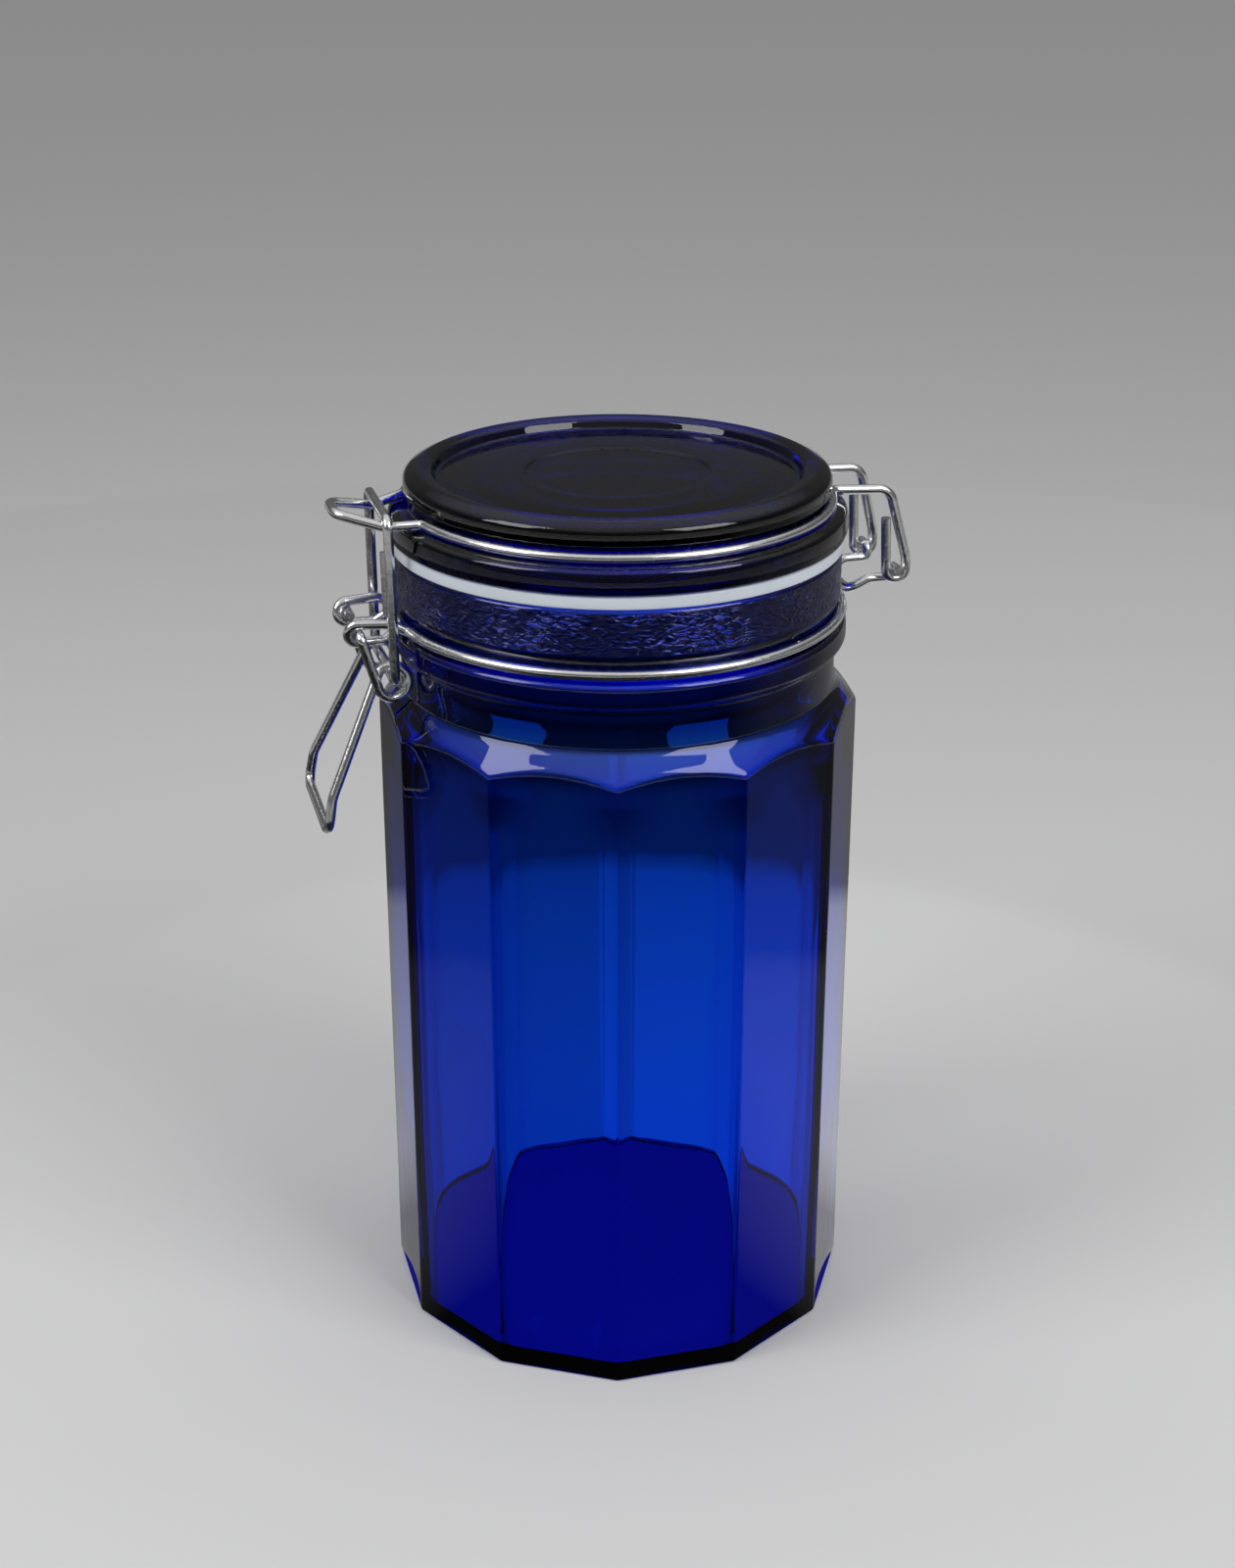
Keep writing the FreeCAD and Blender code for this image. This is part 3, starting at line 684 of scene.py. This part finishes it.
viewTurn = math.radians(15)  # the clamp is turned this far towards the camera
camera = {
    "place": (-0.12108, -0.45186, 0.3203),
    "down": 23.44,
    "lens": 52.67,
    "shift": 0.0111,
}
cameraData = bpy.data.cameras.new("camera")
cameraData.sensor_width = 36.0
cameraData.lens = camera["lens"]
cameraData.shift_y = camera["shift"]
cameraData.clip_start = 0.01
cameraData.clip_end = 100.0
cameraObject = bpy.data.objects.new("camera", cameraData)
cameraObject.location = camera["place"]
cameraObject.rotation_euler = (math.radians(90 - camera["down"]), 0, -viewTurn)
bpy.context.scene.collection.objects.link(cameraObject)
bpy.context.scene.camera = cameraObject

studio = {
    "floorColour": (0.80, 0.80, 0.80, 1),
    "floorRough": 0.35,
    "floorSize": 30.0,
    "floorDrop": 0.00005,
    "aim": 0.1,  # height the lights are turned to
    "horizon": 0.07,
    "zenith": 0.6,
    "boxes": {  # azimuth right of the camera, elevation, distance, width, height, watts
        "softboxLeft": (-62, 40, 1.0, 0.46, 0.5, 3.4),
        "softboxRight": (50, 40, 1.0, 0.50, 0.5, 3.7),
    },
    # painted light and shade: glowing cards the camera never sees, one on the floor, and one round it that
    # shows only through the glass
    "paintedLightCards": {
        "radius": 0.232,
        "height": 0.27,
        "level": -0.00002,
        "standsFrom": 0.0001,
        "farRadius": 0.7,
        "steps": 64,
        # painted light: a dim blue glow on the floor under the jar, seen only through the glass
        "paintedLightUnderJar": (0.016, 0.014, 0.30),  # light that has been through the glass
        "footOfJar": 0.052,
        # painted floor light and shade seen in the glass: brighter near the jar and darker further out, dark
        # in front and brighter behind, brighter to the right
        "byDistance": [(0.22, 0.80), (0.5, 0.66), (0.8, 0.54), (0.93, 0.46), (1.0, 0.16)],
        "byBearing": [(0.2, 0.03), (0.40, 0.48), (0.6, 0.52), (0.75, 1.0)],  # in front, beside, behind
        # painted dark backdrop round the jar, seen only through the glass, darker higher up
        "byHeight": [(0.0, 0.14), (0.07, 0.12), (0.19, 0.045), (0.36, 0.006), (1.0, 0.003)],
        "toRight": 0.25,
        "leftLeast": 0.4,
        "leftOfMiddle": 0.76,
        "blur": 0.004,
    },
}


def makeFloor(s):
    material, b = newMaterial("paleFloor")
    shader = b.out("ShaderNodeBsdfPrincipled", inputs={
        "Base Color": s["floorColour"], "Roughness": s["floorRough"]})
    b.add("ShaderNodeOutputMaterial", inputs={"Surface": shader})
    mesh = bpy.data.meshes.new("floor")
    half = s["floorSize"] / 2
    corners = [(-half, -half, 0), (half, -half, 0), (half, half, 0), (-half, half, 0)]
    mesh.from_pydata(corners, [], [(0, 1, 2, 3)])
    mesh.materials.append(material)
    floor = bpy.data.objects.new("floor", mesh)
    floor.location.z = -s["floorDrop"]
    bpy.context.scene.collection.objects.link(floor)


def makePaintedLightCards(s):
    away = Vector((math.sin(viewTurn), math.cos(viewTurn), 0))
    right = Vector((math.cos(viewTurn), -math.sin(viewTurn), 0))
    # one glowing material paints light and shade that show only in the glass: the lit floor, the shade in
    # front of the jar, the light under it and a dark backdrop
    material, b = newMaterial("paintedLightCards")
    place = b.out("ShaderNodeTexCoord", output="Object")
    x, y, z = [Num(b, socket) for socket in b.add("ShaderNodeSeparateXYZ", inputs={0: place}).outputs]
    radius = (x * x + y * y).of("SQRT").of("MAXIMUM", mm)
    behind = (x * away.x + y * away.y) / radius
    aside = (x * right.x + y * right.y) / s["radius"]

    def tone(stops, value):
        return b.num("ShaderNodeValToRGB", {"stops": [(at, (grey,) * 3) for at, grey in stops]}, {0: value})

    # painted floor light and shade: by distance and bearing from the jar, brighter to the right and darker
    # left of the middle
    flat = tone(s["byDistance"], radius / s["radius"]) * tone(s["byBearing"], (behind + 1) / 2)
    rightHalf = b.num("ShaderNodeMapRange", {"interpolation_type": "SMOOTHSTEP"}, {
        0: aside, 1: -s["blur"] / s["radius"], 2: s["blur"] / s["radius"], 3: s["leftOfMiddle"], 4: 1.0})
    flat = flat * (aside * s["toRight"] + 1).of("MAXIMUM", s["leftLeast"]) * rightHalf
    # painted dark backdrop on the standing card, darker higher up
    upright = tone(s["byHeight"], z / s["height"])
    beside = flat + (z > s["standsFrom"]) * (upright - flat)
    # painted light under the jar, within footOfJar of the axis
    shown = b.out("ShaderNodeMix", {"data_type": "RGBA"},
                  {0: radius < s["footOfJar"], 6: beside, 7: (*s["paintedLightUnderJar"], 1)}, output=2)
    paintedGlow = b.out("ShaderNodeEmission", inputs={"Color": shown, "Strength": 1.0})
    b.add("ShaderNodeOutputMaterial", inputs={"Surface": paintedGlow})
    steps = s["steps"]

    def circle(radius, height):
        turns = [2 * math.pi * k / steps for k in range(steps)]
        return [(radius * math.cos(turn), radius * math.sin(turn), height) for turn in turns]

    disc = [tuple(range(steps))]
    band = [(k, (k + 1) % steps, (k + 1) % steps + steps, k + steps) for k in range(steps)]
    low = circle(s["radius"], s["level"])
    sheets = {  # corners, faces, shown in reflections, shown through the glass
        "paintedFloorLightCard": (low, disc, True, True),
        "paintedFarFloorCard": (low + circle(s["farRadius"], s["level"]), band, True, False),
        "paintedDarkBackdropCard": (low + circle(s["radius"], s["height"]), band, False, True),
    }
    for name, (corners, faces, reflected, through) in sheets.items():
        mesh = bpy.data.meshes.new(name)
        mesh.from_pydata(corners, [], faces)
        mesh.materials.append(material)
        card = bpy.data.objects.new(name, mesh)
        card.visible_camera = card.visible_diffuse = card.visible_shadow = False
        card.visible_glossy = reflected
        card.visible_transmission = through
        bpy.context.scene.collection.objects.link(card)


def makeLights(s):
    for name, (azimuth, elevation, distance, width, height, watts) in s["boxes"].items():
        light = bpy.data.lights.new(name, "AREA")
        light.shape = "RECTANGLE"
        light.size, light.size_y, light.energy = width, height, watts
        lamp = bpy.data.objects.new(name, light)
        rise = math.radians(elevation)
        turn = -math.pi / 2 - viewTurn + math.radians(azimuth)
        away = Vector((math.cos(turn) * math.cos(rise), math.sin(turn) * math.cos(rise), math.sin(rise)))
        lamp.location = Vector((0, 0, s["aim"])) + away * distance
        lamp.rotation_euler = away.to_track_quat("Z", "Y").to_euler()
        bpy.context.scene.collection.objects.link(lamp)


def makeWorld(s):
    world = bpy.data.worlds.new("studioWorld")
    world.use_nodes = True
    world.node_tree.nodes.clear()
    b = Bench(world.node_tree)
    direction = b.out("ShaderNodeTexCoord", output="Generated")
    up = Num(b, b.add("ShaderNodeSeparateXYZ", inputs={0: direction}).outputs[2])
    low, high = s["horizon"], s["zenith"]
    stops = [(0.0, (low,) * 3), (0.45, (low * 1.6,) * 3), (0.8, (high,) * 3)]
    tone = b.out("ShaderNodeValToRGB", {"stops": stops}, {0: up})
    light = b.out("ShaderNodeBackground", inputs={0: tone})
    b.add("ShaderNodeOutputWorld", inputs={0: light})
    bpy.context.scene.world = world


makeFloor(studio)
makePaintedLightCards(studio["paintedLightCards"])
makeLights(studio)
makeWorld(studio)
scene = bpy.context.scene
scene.view_settings.view_transform = "Standard"
scene.cycles.max_bounces = 28
scene.cycles.transmission_bounces = 28
scene.cycles.glossy_bounces = 12
print("studio made")
